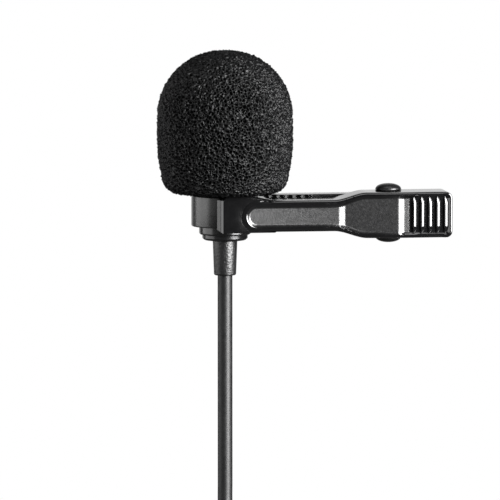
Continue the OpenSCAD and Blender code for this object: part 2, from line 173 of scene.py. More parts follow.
def new_material(name, colour, roughness, metallic=0.0, specular=0.5, coat=0.0, sheen=0.0):
    """A material with one Principled shader."""
    made = bpy.data.materials.new(name)
    made.use_nodes = True
    values = {"Base Color": (*colour, 1), "Roughness": roughness, "Metallic": metallic,
              "Specular IOR Level": specular, "Coat Weight": coat, "Coat Roughness": COAT_ROUGHNESS,
              "Sheen Weight": sheen, "Sheen Roughness": SHEEN_ROUGHNESS}
    for socket, value in values.items():
        made.node_tree.nodes[SHADER].inputs[socket].default_value = value
    made.diffuse_color = (*colour, 1)
    return made


def feed(made, socket, value):
    """Leads a value to an input of the material's shader."""
    made.node_tree.links.new(value, made.node_tree.nodes[SHADER].inputs[socket])


def object_point(made, stretch=(1, 1, 1)):
    """Object coordinates in millimetres, stretched by a factor on each axis."""
    where = add_node(made.node_tree, "ShaderNodeTexCoord").outputs["Object"]
    scaled = {"Vector": where, "Scale": [s / MM for s in stretch]}
    return add_node(made.node_tree, "ShaderNodeMapping", scaled).outputs["Vector"]


def noise(made, point, per_mm, detail=3.0):
    """Noise from 0 to 1 with that many cells to the millimetre."""
    inputs = {"Vector": point, "Scale": per_mm, "Detail": detail}
    return add_node(made.node_tree, "ShaderNodeTexNoise", inputs).outputs["Fac"]


def spread(made, value, low, high, start=0.3, end=0.7):
    """Maps a value between start and end to a value between low and high."""
    inputs = {"Value": value, "From Min": start, "From Max": end, "To Min": low, "To Max": high}
    return add_node(made.node_tree, "ShaderNodeMapRange", inputs).outputs["Result"]


def mixed(made, value, one, other, kind="FLOAT"):
    """A number or a colour between one and other as value goes from 0 to 1."""
    inputs = {"Factor": value, "A": one, "B": other}
    return add_node(made.node_tree, "ShaderNodeMix", inputs, data_type=kind).outputs["Result"]


def attribute(made, name):
    """A number that is kept on the mesh."""
    return add_node(made.node_tree, "ShaderNodeAttribute", attribute_name=name).outputs["Fac"]


def bump(made, height, depth_mm, strength=1.0):
    """Raises the surface by height times depth_mm in the shader's normal."""
    inputs = {"Strength": strength, "Distance": depth_mm * MM, "Height": height}
    feed(made, "Normal", add_node(made.node_tree, "ShaderNodeBump", inputs).outputs["Normal"])


# %% [markdown]
# Moulded plastic of the clip
#
# The clip is black glass-filled nylon from a lightly spark-eroded mould: satin, with a very fine grain
# that breaks up the reflections, and a glossier rim. The mesh says where the grain is.

# %% Clip plastic
def clip_plastic():
    made = new_material("clip_plastic", (0.004, 0.004, 0.0042), 0.2)
    point, grained = object_point(made), attribute(made, "grained")
    glossy = spread(made, noise(made, point, 0.7), 0.09, 0.13)
    matt = spread(made, noise(made, point, 2.5), 0.31, 0.4)
    feed(made, "Roughness", mixed(made, grained, glossy, matt))
    dark, light = (0.001, 0.001, 0.0011, 1), (0.0022, 0.0022, 0.0023, 1)
    feed(made, "Base Color", mixed(made, noise(made, point, 3.0, 5.0), dark, light, "RGBA"))
    depth = spread(made, grained, 0.04, 1.0, 0, 1)
    bump(made, math_node(made.node_tree, "MULTIPLY", noise(made, point, 5.5, 4.0), depth), 0.03, 0.6)
    return made


# %% [markdown]
# Coated metal
#
# The barrel, the end cap and the rivet are metal with a thin black coating. The rings show fine
# turning marks that run round the axis, so the noise is squeezed along the height.

# %% Dark coated metal
def dark_metal(name="dark_metal", roughness=0.22, specular=0.45):
    made = new_material(name, (0.0025, 0.0025, 0.0026), roughness, specular=specular, coat=0.03)
    fine = noise(made, object_point(made, (0.4, 0.4, 14)), 1.6, 4.0)
    feed(made, "Roughness", spread(made, fine, roughness - 0.06, roughness + 0.08))
    bump(made, fine, 0.003, 0.4)
    return made


# %% [markdown]
# Bright metals
#
# Drawn spring wire, the woven mesh and the capsule's can are plain bright metals, and the plug's
# contacts are gold plated. A fine noise in the roughness keeps the highlights from looking like glass.

# %% Bright metals
def textured(name, colour, roughness, gloss, relief, stretch=(1, 1, 1), **kind):
    """A finish with noise in its gloss and its relief.

    gloss is cells to the millimetre, detail, and the least and the most roughness; relief is cells to
    the millimetre, detail, depth in millimetres and strength.
    """
    made = new_material(name, colour, roughness, **kind)
    point = object_point(made, stretch)
    feed(made, "Roughness", spread(made, noise(made, point, *gloss[:2]), *gloss[2:]))
    bump(made, noise(made, point, *relief[:2]), *relief[2:])
    return made


def bright_metal(name, colour, roughness, stretch=(1, 1, 1)):
    gloss = (2.2, 4.0, roughness * 0.75, roughness * 1.35)
    return textured(name, colour, roughness, gloss, (8.0, 3.0, 0.002, 0.3), stretch, metallic=1.0)


# %% [markdown]
# Rubbery finishes
#
# The strain relief is a glossy soft plastic with a coarse spark-eroded texture that glitters. The
# cable's jacket is smoother, with a faint pattern of the twisted cores under it.

# %% Strain relief and cable jacket
RUBBER_BLACK = (0.002, 0.002, 0.0021)
boot_plastic = textured("boot", RUBBER_BLACK, 0.36, (7.0, 2.0, 0.3, 0.46), (2.6, 3.0, 0.09, 0.8),
                        specular=0.35)
cable_jacket = textured("cable_jacket", RUBBER_BLACK, 0.45, (0.8, 3.0, 0.4, 0.5), (5.0, 4.0, 0.004, 0.5),
                        specular=0.25)

# %% [markdown]
# Foam
#
# The cells are real geometry, made further down. The material adds what is finer: the struts shine a
# little, and the bottoms of the cells get a darker base colour, a painted shade, by the depth that is kept
# on the mesh.

# %% Foam
def foam_black():
    made = new_material("foam", (0.01, 0.01, 0.0105), 0.45, specular=0.075)
    strut_and_painted_pit_shade = attribute(made, "strut_and_painted_pit_shade")
    # painted shade: the cell bottoms get an almost black base colour, darker than the struts
    dark, light = (0.0001, 0.0001, 0.0001, 1), (0.002, 0.002, 0.0021, 1)
    feed(made, "Base Color", mixed(made, strut_and_painted_pit_shade, dark, light, "RGBA"))
    feed(made, "Roughness", spread(made, strut_and_painted_pit_shade, 0.95, 0.2, 0.25, 0.85))
    bump(made, noise(made, object_point(made), 5.0), 0.08, 0.8)
    return made


# %% Other finishes
def plain_plastic(name, colour, roughness, grain=0.003):
    gloss = (1.5, 3.0, roughness - 0.05, roughness + 0.08)
    return textured(name, colour, roughness, gloss, (9.0, 3.0, grain, 0.4))


def woven_strap():
    made = new_material("tie", (0.006, 0.006, 0.0066), 0.85, specular=0.15, sheen=0.04)
    squares = {"Vector": object_point(made, (3.2, 3.2, 3.2)), "Scale": 1.0}
    weave = add_node(made.node_tree, "ShaderNodeTexChecker", squares).outputs["Fac"]
    fuzz = noise(made, object_point(made), 6.0, 4.0)
    bump(made, math_node(made.node_tree, "ADD", weave, fuzz), 0.08, 0.6)
    return made


FINISH = {
    "clip_plastic": clip_plastic(),
    "dark_metal": dark_metal(),
    "rivet_metal": dark_metal("rivet_metal", 0.36, 0.25),
    "steel": bright_metal("steel", (0.62, 0.62, 0.64), 0.25),
    "can_metal": bright_metal("can_metal", (0.78, 0.78, 0.8), 0.3, (1, 1, 6)),
    "brass": bright_metal("brass", (0.78, 0.57, 0.26), 0.3),
    "gold": bright_metal("gold", (0.95, 0.68, 0.3), 0.16, (0.5, 0.5, 8)),
    "boot": boot_plastic,
    "cable_jacket": cable_jacket,
    "foam": foam_black(),
    "tie": woven_strap(),
}
PLAIN = {
    "rubber": ((0.015, 0.015, 0.016), 0.7, 0.01),
    "felt": ((0.02, 0.02, 0.022), 0.95, 0.03),
    "film": ((0.72, 0.62, 0.35), 0.15),
    "white_plastic": ((0.78, 0.78, 0.75), 0.4),
    "board": ((0.02, 0.16, 0.06), 0.3),
    "chip": ((0.012, 0.012, 0.012), 0.5),
    "wire": ((0.45, 0.03, 0.02), 0.35),
}
FINISH.update({name: plain_plastic(name, *facts) for name, facts in PLAIN.items()})
print(len(FINISH), "finishes")

# %% Every CAD node gets its finish
NODE_SLOT = {row["node"]: row["material_slot"] for row in frame["record"]["subparts"]}
for node, piece in frame["nodes"].items():
    piece.data.materials.clear()
    piece.data.materials.append(FINISH[NODE_SLOT[node]])

# %% [markdown]
# The cable
#
# The cable is one length from the strain relief to the plug. It hangs straight down, crosses to the
# front of the hank, winds through its layers and comes out at the back. The turns are worked out by a
# loop. It is one curve with a round bevel.

# %% The cable's route
CABLE_D = 2.4 * MM
HANK_Z = -85
DOWN = [(0, 0, z) for z in (-14, -20, -26, -32, -38, -44, -47)]
DOWN += [(0.2, -0.5, -50), (1.3, -1.9, -53), (2.9, -3.6, -56), (4.8, -5.1, -59), (6.7, -5.9, -62),
         (8.3, -6, -65), (9.4, -6, -68)]
OUT = [(x, -y, 2 * HANK_Z - z) for x, y, z in reversed(DOWN[5:])]   # the same bend, upside down
OUTER_TURN = 9.6  # half the width of the outer turn, at its centreline
INNER_TURN = 7.2  # half the width of the inner turn
HALF_RUN = 13     # half the length of the straight runs
LAYER = 2.4       # one diameter between layers
LAYERS = 6
PER_END = 14      # points round each end
PER_RUN = 6       # points down each run
PER_RISE = 8      # points up a run that may move over


def on_the_way(count):
    """Shares from 0 to just under 1."""
    return [k / count for k in range(count)]


def eased(t):
    return t * t * (3 - 2 * t)


def straight_down(w, y):
    return [(w, y, HALF_RUN - 2 * HALF_RUN * t) for t in on_the_way(PER_RUN)]


def one_turn(w, w_next, y, y_next):
    """From the top right down, round the bottom, up the left and over the top."""
    points = straight_down(w, y)
    for t in on_the_way(PER_END):
        points.append((w * math.cos(math.pi * t), y, -HALF_RUN - w * math.sin(math.pi * t)))
    for t in on_the_way(PER_RISE):
        over = eased(t)
        points.append((-w - (w_next - w) * over, y + (y_next - y) * over, -HALF_RUN + 2 * HALF_RUN * t))
    for t in on_the_way(PER_END):
        points.append((-w_next * math.cos(math.pi * t), y_next, HALF_RUN + w_next * math.sin(math.pi * t)))
    return points


def hank_route():
    """All turns of the hank, in millimetres about its middle, from the front layer to the back."""
    points = []
    first = -(LAYERS - 1) / 2 * LAYER
    for layer in range(LAYERS):
        y = first + layer * LAYER
        w, other = (OUTER_TURN, INNER_TURN) if layer % 2 == 0 else (INNER_TURN, OUTER_TURN)
        points += one_turn(w, other, y, y)
        if layer < LAYERS - 1:
            points += one_turn(other, other, y, y + LAYER)
    return points + straight_down(OUTER_TURN, -first)


def by_the_axis(points, height=0):
    """Points given in millimetres from the microphone's axis."""
    return [Vector((AXIS.x + x * MM, AXIS.y + y * MM, (z + height) * MM)) for x, y, z in points]


exit_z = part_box("strain_relief")[0][2]
route = [Vector((AXIS.x, AXIS.y, exit_z))] + by_the_axis(DOWN)
route += by_the_axis(hank_route()[1:], HANK_Z) + by_the_axis(OUT)


# %% The cable as a curve
def smooth_line(points, step):
    """Points at about even steps along a Catmull-Rom curve through the given ones."""
    padded = [2 * points[0] - points[1], *points, 2 * points[-1] - points[-2]]
    made = [points[0]]
    for a, b, c, d in zip(padded, padded[1:], padded[2:], padded[3:]):
        count = max(1, round((c - b).length / step))
        for k in range(1, count + 1):
            t = k / count
            made.append(0.5 * (2 * b + (c - a) * t + (2 * a - 5 * b + 4 * c - d) * t * t
                               + (3 * b - a - 3 * c + d) * t ** 3))
    return made


ROUTE_STEP = 1.2 * MM
cable_line = smooth_line(route, ROUTE_STEP)
cable_curve = bpy.data.curves.new("microphone_cable", "CURVE")
cable_curve.dimensions = "3D"
cable_curve.bevel_depth = CABLE_D / 2
cable_curve.bevel_resolution = 5
cable_curve.use_fill_caps = True
spline = cable_curve.splines.new("POLY")
spline.points.add(len(cable_line) - 1)
for slot, point in zip(spline.points, cable_line):
    slot.co = (*point, 1)
spline.use_smooth = True
cable = in_scene("microphone_cable", cable_curve)
cable.data.materials.append(FINISH["cable_jacket"])
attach(cable, "microphone")
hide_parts("cable", "cable_hank", "cable_tail")

# %% [markdown]
# Helpers for shapes
#
# One helper rounds the corners of an outline, because it is the rounded edge that catches the light.
# One turns an outline as a lathe does. One puts a finished mesh on its body.

# %% Rounded outlines
ON_AXIS = 1e-6
SAME_POINT = 0.0005 * MM
SLIVER = 0.0002 * MM
SHARP_ANGLE = 42


def rounded(outline, radius, steps=4, turning=True):
    """A closed outline with its corners rounded; if it is for turning, points on the axis stay."""
    points = [Vector(p) for p in outline]
    made = []
    for k, point in enumerate(points):
        if turning and point.x < ON_AXIS:
            made.append(point)
            continue
        before, after = points[k - 1], points[(k + 1) % len(points)]
        r = min(radius, (before - point).length * 0.45, (after - point).length * 0.45)
        start = point + (before - point).normalized() * r
        end = point + (after - point).normalized() * r
        for s in range(steps + 1):
            t = s / steps
            made.append((1 - t) ** 2 * start + 2 * t * (1 - t) * point + t * t * end)
    return made


def smooth_shaded(data, angle=SHARP_ANGLE):
    """Smooth shading with the sharp edges kept."""
    data.shade_smooth()
    data.set_sharp_from_angle(angle=math.radians(angle))
    return data


def tidy_mesh(bm, turn_outwards=True):
    """Merges doubles, points the faces outwards and gives a smooth mesh with sharp edges kept."""
    bmesh.ops.remove_doubles(bm, verts=bm.verts, dist=SAME_POINT)
    bmesh.ops.dissolve_degenerate(bm, edges=bm.edges, dist=SLIVER)
    if turn_outwards:
        bmesh.ops.recalc_face_normals(bm, faces=bm.faces)
    data = bpy.data.meshes.new("mesh")
    bm.to_mesh(data)
    bm.free()
    return smooth_shaded(data)


def turned(outline, segments=96, centre=None):
    """A mesh made by turning a closed outline of (radius, height) about an upright axis."""
    axis = centre or AXIS
    bm = bmesh.new()
    rings = []
    for s in range(segments):
        a = 2 * math.pi * s / segments
        out = Vector((math.cos(a), math.sin(a)))
        rings.append([bm.verts.new((*(axis.xy + out * p.x * MM), p.y * MM)) for p in outline])
    for s, ring in enumerate(rings):
        other = rings[(s + 1) % segments]
        for k in range(len(outline)):
            n = (k + 1) % len(outline)
            if max(outline[k].x, outline[n].x) > ON_AXIS:
                bm.faces.new((ring[k], other[k], other[n], ring[n]))
    return tidy_mesh(bm)


def placed(name, data, finish, body, *nodes):
    """Puts a mesh in the scene with its finish, on its body, in place of CAD nodes."""
    made = in_scene("finished_" + name, data)
    data.name = name
    data.materials.clear()
    data.materials.append(FINISH[finish])
    if body:
        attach(made, body)
    if nodes:
        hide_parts(*nodes)
    print(name, len(data.polygons), "faces")
    return made


# %% [markdown]
# Rows of equal parts
#
# The jaws' teeth, the grip's ribs and the flex rings of the plug's boot each repeat one small shape
# along a line, so one Geometry Nodes tree makes them all.

# %% Geometry Nodes for a row
def new_tree(name, output, inputs):
    """A Geometry Nodes tree with named inputs, what they give, and the node that it ends in."""
    tree = bpy.data.node_groups.new(name, "GeometryNodeTree")
    tree.interface.new_socket(output, in_out="OUTPUT", socket_type="NodeSocketGeometry")
    for label, kind in inputs.items():
        tree.interface.new_socket(label, in_out="INPUT", socket_type="NodeSocket" + kind)
    return tree, tree.nodes.new("NodeGroupInput").outputs, tree.nodes.new("NodeGroupOutput")


def made_real(tree, geometry, finish, end):
    """The last nodes of a tree: everything made real, with its material."""
    real = add_node(tree, "GeometryNodeRealizeInstances", {"Geometry": geometry})
    inputs = {"Geometry": real.outputs["Geometry"], "Material": finish}
    paint = add_node(tree, "GeometryNodeSetMaterial", inputs)
    tree.links.new(paint.outputs["Geometry"], end.inputs[0])
    return tree


def row_tree():
    tree, given, end = new_tree("row_of_parts", "Row", {
        "Part": "Geometry", "Count": "Int", "Step": "Vector", "Finish": "Material"})
    line = add_node(tree, "GeometryNodeMeshLine", {"Count": given["Count"], "Offset": given["Step"]})
    inputs = {"Points": line.outputs["Mesh"], "Instance": given["Part"]}
    put = add_node(tree, "GeometryNodeInstanceOnPoints", inputs)
    return made_real(tree, put.outputs["Instances"], given["Finish"], end)


ROW = row_tree()


def evaluated(carrier):
    """A plain mesh of an object with its modifiers applied; the object goes."""
    graph = bpy.context.evaluated_depsgraph_get()
    made = bpy.data.meshes.new_from_object(carrier.evaluated_get(graph))
    bpy.data.objects.remove(carrier)
    return made


def through_nodes(data, tree, values):
    """A plain mesh made from a mesh by a Geometry Nodes tree with the named inputs set."""
    carrier = in_scene("carrier", data)
    modifier = carrier.modifiers.new("nodes", "NODES")
    modifier.node_group = tree
    for item in tree.interface.items_tree:
        if item.in_out == "INPUT" and item.name in values:
            modifier[item.identifier] = values[item.name]
    return evaluated(carrier)


def in_a_row(data, count, step, finish):
    values = {"Count": count, "Step": [v * MM for v in step], "Finish": FINISH[finish]}
    made = through_nodes(data, ROW, values)
    print("row of", count, "with", len(made.polygons), "faces")
    return made


def joined(*meshes):
    """One mesh from several closed ones."""
    bm = bmesh.new()
    for data in meshes:
        bm.from_mesh(data)
    return tidy_mesh(bm, turn_outwards=False)


def carved(data, cutter):
    """A mesh with a closed cutter taken away."""
    carrier, tool = in_scene("carved", data), in_scene("cutter", cutter)
    cut = carrier.modifiers.new("cut", "BOOLEAN")
    cut.operation, cut.object, cut.solver = "DIFFERENCE", tool, "MANIFOLD"
    made = evaluated(carrier)
    bpy.data.objects.remove(tool)
    return smooth_shaded(made)


# %% [markdown]
# The front jaw's outline
#
# Seen from the front, the jaw is a narrow arm that widens to the grip, and a taller block on the left
# that joins it to the collar. These functions give its upper and lower edges along the clip.

# %% Outline of the front jaw
PIVOT = middle("pivot_rivet") / MM
JAW_HIGH = box_mm("front_jaw")[1]
GRIP_HALF = JAW_HIGH.z
ARM_HALF = 2.5
END = JAW_HIGH.x
END_ROUND = 1.0
BLOCK_LEFT = MIC.x - 2
BLOCK_RIGHT = -2.6
BLOCK_BEVEL = 0.84    # how far the two bevels of the left edge run in
BLOCK_CORNER = 1.0
BLOCK_TOP = 3.45
BLOCK_LOW = -2.6
TONGUE = MIC.x + 4.4      # centre of the arm's rounded left end
FLARE = PIVOT.x - 9.3
WIDE = PIVOT.x - 4


def clamped(value):
    return min(max(value, 0), 1)


def half_height(x):
    """Half the height of the arm and grip."""
    half = ARM_HALF + (GRIP_HALF - ARM_HALF) * eased(clamped((x - FLARE) / (WIDE - FLARE)))
    over = x - (END - END_ROUND)
    return half if over <= 0 else half - END_ROUND + math.sqrt(max(END_ROUND ** 2 - over ** 2, 0))


def upper_edge(x):
    if x > BLOCK_RIGHT:
        return half_height(x)
    edge = BLOCK_TOP - max(0.0, x - MIC.x - 2) * 0.177
    over = BLOCK_LEFT + BLOCK_BEVEL + BLOCK_CORNER - x
    if over > 0:
        over = min(over, BLOCK_CORNER * 0.985)
        edge -= BLOCK_CORNER - math.sqrt(BLOCK_CORNER ** 2 - over ** 2)
    return max(edge, ARM_HALF)


def lower_edge(x):
    if x > BLOCK_RIGHT:
        return -half_height(x)
    return BLOCK_LOW + 0.5 * clamped((BLOCK_LEFT + 0.7 - x) / 0.7)


# %% [markdown]
# The front jaw's face
#
# The face is a relief. A raised rim follows the outline, and a grained panel lies inside it. Two
# short slopes cross the panel, before and after the thicker middle. The arm's round left end stands in
# a shallow hollow of the block. One height over the outline keeps all these curves smooth.

# %% Relief of the front jaw
ARM_FACE = -5.6
BEND = PIVOT.x - 8.5
CREST = PIVOT.x + 0.9
STEP_RUN = 0.9
GRIP_START = CREST + STEP_RUN


def frange(start, end, step):
    count = max(1, round((end - start) / step))
    return [start + (end - start) * k / count for k in range(count)]


def along(x, stops):
    """The height at x on a line through the stops."""
    for (x0, y0), (x1, y1) in zip(stops, stops[1:]):
        if x <= x1:
            return y0 + (y1 - y0) * (x - x0) / (x1 - x0)
    return stops[-1][1]


def face_line(x, soft=0.16):
    """Front of the jaw along its length, softened at the bends; the rim is softer than the panel."""
    bowed = [(s, ARM_FACE - 0.02 - 0.0022 * (s + 4) ** 2) for s in frange(BLOCK_LEFT, BEND, 0.75)]
    stops = bowed + [(BEND, -5.91), (BEND + STEP_RUN, -5.56), (CREST, -6.88), (GRIP_START, -6.54),
                     (END + 1, -6.6)]
    return sum(along(x + k * soft / 2, stops) for k in (-2, -1, 0, 1, 2)) / 5


def quarter(depth, radius):
    """How far a rounded edge falls away at a distance inside the outline."""
    inside = min(max(depth, 0), radius)
    return radius - math.sqrt(radius ** 2 - (radius - inside) ** 2)


def rim_width(x):
    return along(x, [(-20, 0.7), (BEND, 0.7), (WIDE, 0.52), (CREST, 0.46), (END + 1, 0.36)])


def inside_tongue(x, z):
    """Distance inside the outline of the arm and grip; negative in the block beside it."""
    if x < TONGUE:
        return ARM_HALF - math.hypot(x - TONGUE, z)
    over, up = x - (END - END_ROUND), abs(z) - (half_height(END - 2) - END_ROUND)
    if over > 0 and up > 0:
        return END_ROUND - math.hypot(over, up)
    return min(half_height(x) - abs(z), END - x)


PANEL_SLOPE = 0.5
ARM_RECESS, GRIP_RECESS = 0.3, 0.42
EDGE_STOPS = [(-20, 0.62), (END - 1.6, 0.62), (END - 0.6, 0.26), (END + 1, 0.26)]
BLOCK_PROUD = 0.12     # the block stands that far in front of the arm
BLOCK_EDGE = 0.32
GROOVE = 0.02          # depth of the groove round the arm's left end
GROOVE_RUN = 2.2       # width of its slope in the block
FREE_RUN = 3.0         # length over which the arm's edges come clear of the block


def panel_mask(x, z):
    """1 on the grained panel, 0 on the rim and the block."""
    return clamped((inside_tongue(x, z) - rim_width(x)) / PANEL_SLOPE)


def face_y(x, z):
    """The jaw's front surface."""
    depth = inside_tongue(x, z)
    if depth >= 0:
        recess = ARM_RECESS if x < GRIP_START else GRIP_RECESS
        rim, free = face_line(x, 2.4), clamped((x - TONGUE) / FREE_RUN)
        fall = GROOVE * (1 - min(depth / 0.7, 1)) ** 2
        fall += free * (quarter(depth, along(x, EDGE_STOPS)) - fall)
        return rim + fall + (face_line(x) + recess - rim) * panel_mask(x, z)
    hollow = (BLOCK_PROUD + GROOVE) * (1 - min(-depth / GROOVE_RUN, 1)) ** 2
    edge = min(upper_edge(x) - z, z - lower_edge(x), x - BLOCK_LEFT - 0.6)
    return ARM_FACE - BLOCK_PROUD + hollow + quarter(edge, BLOCK_EDGE)


# %% [markdown]
# The front jaw's shell
#
# The moulding is a loft of sections along the clip, with more sections where the face bends. The left
# edge of the block turns back to the collar in two small bevels. The hollow behind the grip, where the
# rear jaw and the spring sit, is carved out with a second loft.

# %% Loft of the front jaw
def barrel_side(x, radius):
    """The side of a circle about the microphone's axis that faces the clip's front."""
    return MIC.y - math.sqrt(max(radius ** 2 - (x - MIC.x) ** 2, 0))


def loft(sections):
    """A closed mesh through rings of equally many points."""
    bm = bmesh.new()
    rings = [[bm.verts.new(Vector(p) * MM) for p in ring] for ring in sections]
    count = len(rings[0])
    for one, other in zip(rings, rings[1:]):
        for k in range(count):
            n = (k + 1) % count
            bm.faces.new((one[k], one[n], other[n], other[k]))
    bm.faces.new(rings[0])
    bm.faces.new(rings[-1])
    return tidy_mesh(bm)


def closer_at_ends(count, skipped=0.14):
    """Numbers from 0 to 1, closer together near both ends."""
    start, turn = math.pi * skipped, math.pi * (1 - 2 * skipped)
    return [0.5 - 0.5 * math.cos(start + turn * k / count) / math.cos(start) for k in range(count + 1)]


def jaw_ring(x, front, back, columns=76):
    """One section: up the front face and down the back, with the walls between them."""
    low, high = lower_edge(x), upper_edge(x)
    ring = [(x, front(x, z), z) for z in (low + (high - low) * t for t in closer_at_ends(columns))]
    top, bottom = ring[-1][1], ring[0][1]
    ring += [(x, top + (back - top) * k / 6, high) for k in range(1, 7)]
    ring += [(x, back, high + (low - high) * k / 4) for k in range(1, 4)]
    ring += [(x, back + (bottom - back) * k / 6, low) for k in range(6)]
    return ring


CLIP_WALL = 0.9
TEETH_BACK = -0.66
TEETH_START = MIC.x + 6.2
TEETH_END = TEETH_START + 8.7
COLLAR_REACH = 4.16    # the moulding stops that far from the microphone's axis
FIRST_BEVEL, SECOND_BEVEL = BLOCK_LEFT + BLOCK_BEVEL / 2, BLOCK_LEFT + BLOCK_BEVEL
FRONT_Y = ARM_FACE - BLOCK_PROUD
bevels = rounded([(0, 0), (BLOCK_LEFT, -2.6), (BLOCK_LEFT, -4.3), (FIRST_BEVEL, -4.7), (FIRST_BEVEL, -5.3),
                  (SECOND_BEVEL, FRONT_Y), (20, FRONT_Y)], 0.12, 3, turning=False)
sections = [jaw_ring(point.x, lambda _, z, y=point.y: y, barrel_side(point.x, COLLAR_REACH))
            for point in bevels if FRONT_Y + 0.01 < point.y < -2.5 and point.x < SECOND_BEVEL]
STATIONS = [(BLOCK_LEFT + 0.8, 0.085), (TONGUE + 1, 0.2), (BEND - 0.3, 0.06), (BEND + 1.3, 0.16),
            (CREST - 0.3, 0.06), (GRIP_START + 0.4, 0.12), (END - 1.1, None)]
along_clip = [x for (start, step), (end, _) in zip(STATIONS, STATIONS[1:]) for x in frange(start, end, step)]
along_clip += [END - 1.1 * (1 - math.sin(math.pi / 2 * k / 20)) for k in range(21)]
for x in along_clip:
    sections.append(jaw_ring(x, face_y, min(TEETH_BACK, barrel_side(x, COLLAR_REACH))))
shell = loft(sections)
print("front shell", len(shell.polygons), "faces from", len(sections), "sections")


# %% Hollow of the front jaw
def hollow_ring(x):
    half = half_height(min(x, END - 1.1)) - CLIP_WALL
    front = face_line(x) + CLIP_WALL + 0.35
    corners = [(front, -half), (4, -half), (4, half), (front, half)]
    return [(x, *p) for p in rounded(corners, 0.3, 3, turning=False)]


hollow_end = END - CLIP_WALL
hollow = loft([hollow_ring(x) for x in frange(TEETH_END + 0.6, hollow_end, 0.4) + [hollow_end]])
shell = carved(shell, hollow)
print("hollowed shell", len(shell.polygons), "faces")

# %% [markdown]
# Ribs, teeth, ears and collar of the front jaw
#
# A rib is steep on the left and slopes on the right, and its ends taper, so a thumb slides over it one
# way and grips the other way. The teeth are plain ridges that meet the rear jaw's. The ears hold the
# rivet, and the collar is turned.

# %% Ribs of the grip
RIB_PROFILE = [(0, -0.25), (0, 0.24), (0.03, 0.36), (0.08, 0.42), (0.15, 0.44), (0.28, 0.41), (0.44, 0.345),
               (0.6, 0.27), (0.67, 0.2), (0.7, 0.08), (0.7, -0.25)]
RIB_COUNT = 5
RIB_STEP = 1.27
RIB_FULL = 0.55    # share of the half rib before its end tapers
rib_reach = GRIP_HALF - 0.42


def rib(start_x, floor_y):
    """One rib that stands on floor_y towards -Y and begins at start_x."""
    rings = []
    for k in range(41):
        t = -1 + 2 * k / 40
        size = max(1 - max((abs(t) - RIB_FULL) / (1 - RIB_FULL), 0) ** 1.7, 0.04)
        rings.append([(start_x + px * size, floor_y - (py * size if py > 0 else py), t * rib_reach)
                      for px, py in RIB_PROFILE])
    return loft(rings)


def ribs_before(end_gap, floor_y):
    """The grip's row of ribs; the last one begins end_gap before the clip's end."""
    first = rib(END - end_gap - (RIB_COUNT - 1) * RIB_STEP, floor_y)
    return in_a_row(first, RIB_COUNT, (RIB_STEP, 0, 0), "clip_plastic")


ribs = ribs_before(1.32, face_line(END - 4) + GRIP_RECESS)

# %% Teeth, ears and collar
TOOTH_PITCH = 1.3
TOOTH_COUNT = 6
TOOTH_TIP = -0.06
EAR_R = 1.75
EAR_EDGE = 0.12


def ear(side):
    """A round wall about the rivet with a rounded outer edge."""
    thick = CLIP_WALL - 0.02
    bm = bmesh.new()
    bmesh.ops.create_cone(bm, cap_ends=True, segments=64, radius1=EAR_R * MM, radius2=EAR_R * MM,
                          depth=thick * MM)
    rim = [e for e in bm.edges if abs(e.verts[0].co.z - e.verts[1].co.z) < 1e-7]
    bmesh.ops.bevel(bm, geom=rim, offset=EAR_EDGE * MM, segments=3, affect="EDGES")
    place = Vector((PIVOT.x, PIVOT.y, side * (GRIP_HALF - CLIP_WALL + thick / 2)))
    bmesh.ops.translate(bm, verts=bm.verts, vec=place * MM)
    return tidy_mesh(bm)


tooth_foot = TEETH_BACK - (TOOTH_TIP - TEETH_BACK) * 0.3
tooth = rounded([(TEETH_START, tooth_foot), (TEETH_START + TOOTH_PITCH, tooth_foot),
                 (TEETH_START + TOOTH_PITCH / 2, TOOTH_TIP)], 0.1, 2, turning=False)
tooth_half = ARM_HALF - 0.05
tooth = loft([[(*p, z) for p in tooth] for z in (-tooth_half, tooth_half)])
front_teeth = in_a_row(tooth, TOOTH_COUNT, (TOOTH_PITCH, 0, 0), "clip_plastic")
collar = turned(rounded([(4.2, -2), (5.4, -2), (5.4, 3), (4.2, 3)], 0.2))
front_parts = [shell, ribs, front_teeth, ear(-1), ear(1), collar]
front = placed("clip_front_jaw", joined(*front_parts), "clip_plastic", "clip_front", "front_jaw")
GRAIN_END = GRIP_START + 0.8
COLLAR_GRAIN = 0.7


def grain_at(point):
    """How grained the moulding is there: the collar is, and so is the panel up to the ribs."""
    x, y, z = point / MM
    if x < BLOCK_LEFT + 0.5:
        return COLLAR_GRAIN
    return panel_mask(x, z) if y < -4.2 and TONGUE - 2 < x < GRAIN_END else 0.0


grain = front.data.attributes.new("grained", "FLOAT", "POINT")
grain.data.foreach_set("value", [grain_at(vertex.co) for vertex in front.data.vertices])

# %% [markdown]
# The rear jaw
#
# The rear jaw is a plain sprung lever, so its CAD solid is right apart from its sharp edges. A copy is
# merged and bevelled, and gets the same ribs as the front grip where a finger presses it.

# %% Rear jaw
def softened(node, radius, angle=30):
    """A copy of a CAD node's mesh, merged, with its edges rounded."""
    bm = bmesh.new()
    bm.from_mesh(frame["nodes"][node].data)
    bmesh.ops.remove_doubles(bm, verts=bm.verts, dist=0.001 * MM)
    bmesh.ops.dissolve_limit(bm, angle_limit=math.radians(1), verts=bm.verts, edges=bm.edges)
    data = bpy.data.meshes.new(node)
    bm.to_mesh(data)
    bm.free()
    carrier = in_scene("carrier", data)
    bevel = carrier.modifiers.new("edges", "BEVEL")
    bevel.width = radius * MM
    bevel.segments = 3
    bevel.limit_method = "ANGLE"
    bevel.angle_limit = math.radians(angle)
    return smooth_shaded(evaluated(carrier), 38)


rear_high = box_mm("rear_jaw")[1]
rear_ribs = ribs_before(2.2, 0)
for vertex in rear_ribs.vertices:
    vertex.co.y = rear_high.y * MM - vertex.co.y
    vertex.co.z *= (rear_high.z - 0.35) / rib_reach
rear_ribs.flip_normals()
rear = joined(softened("rear_jaw", 0.12), rear_ribs)
placed("clip_rear_jaw", rear, "clip_plastic", "clip_rear", "rear_jaw")

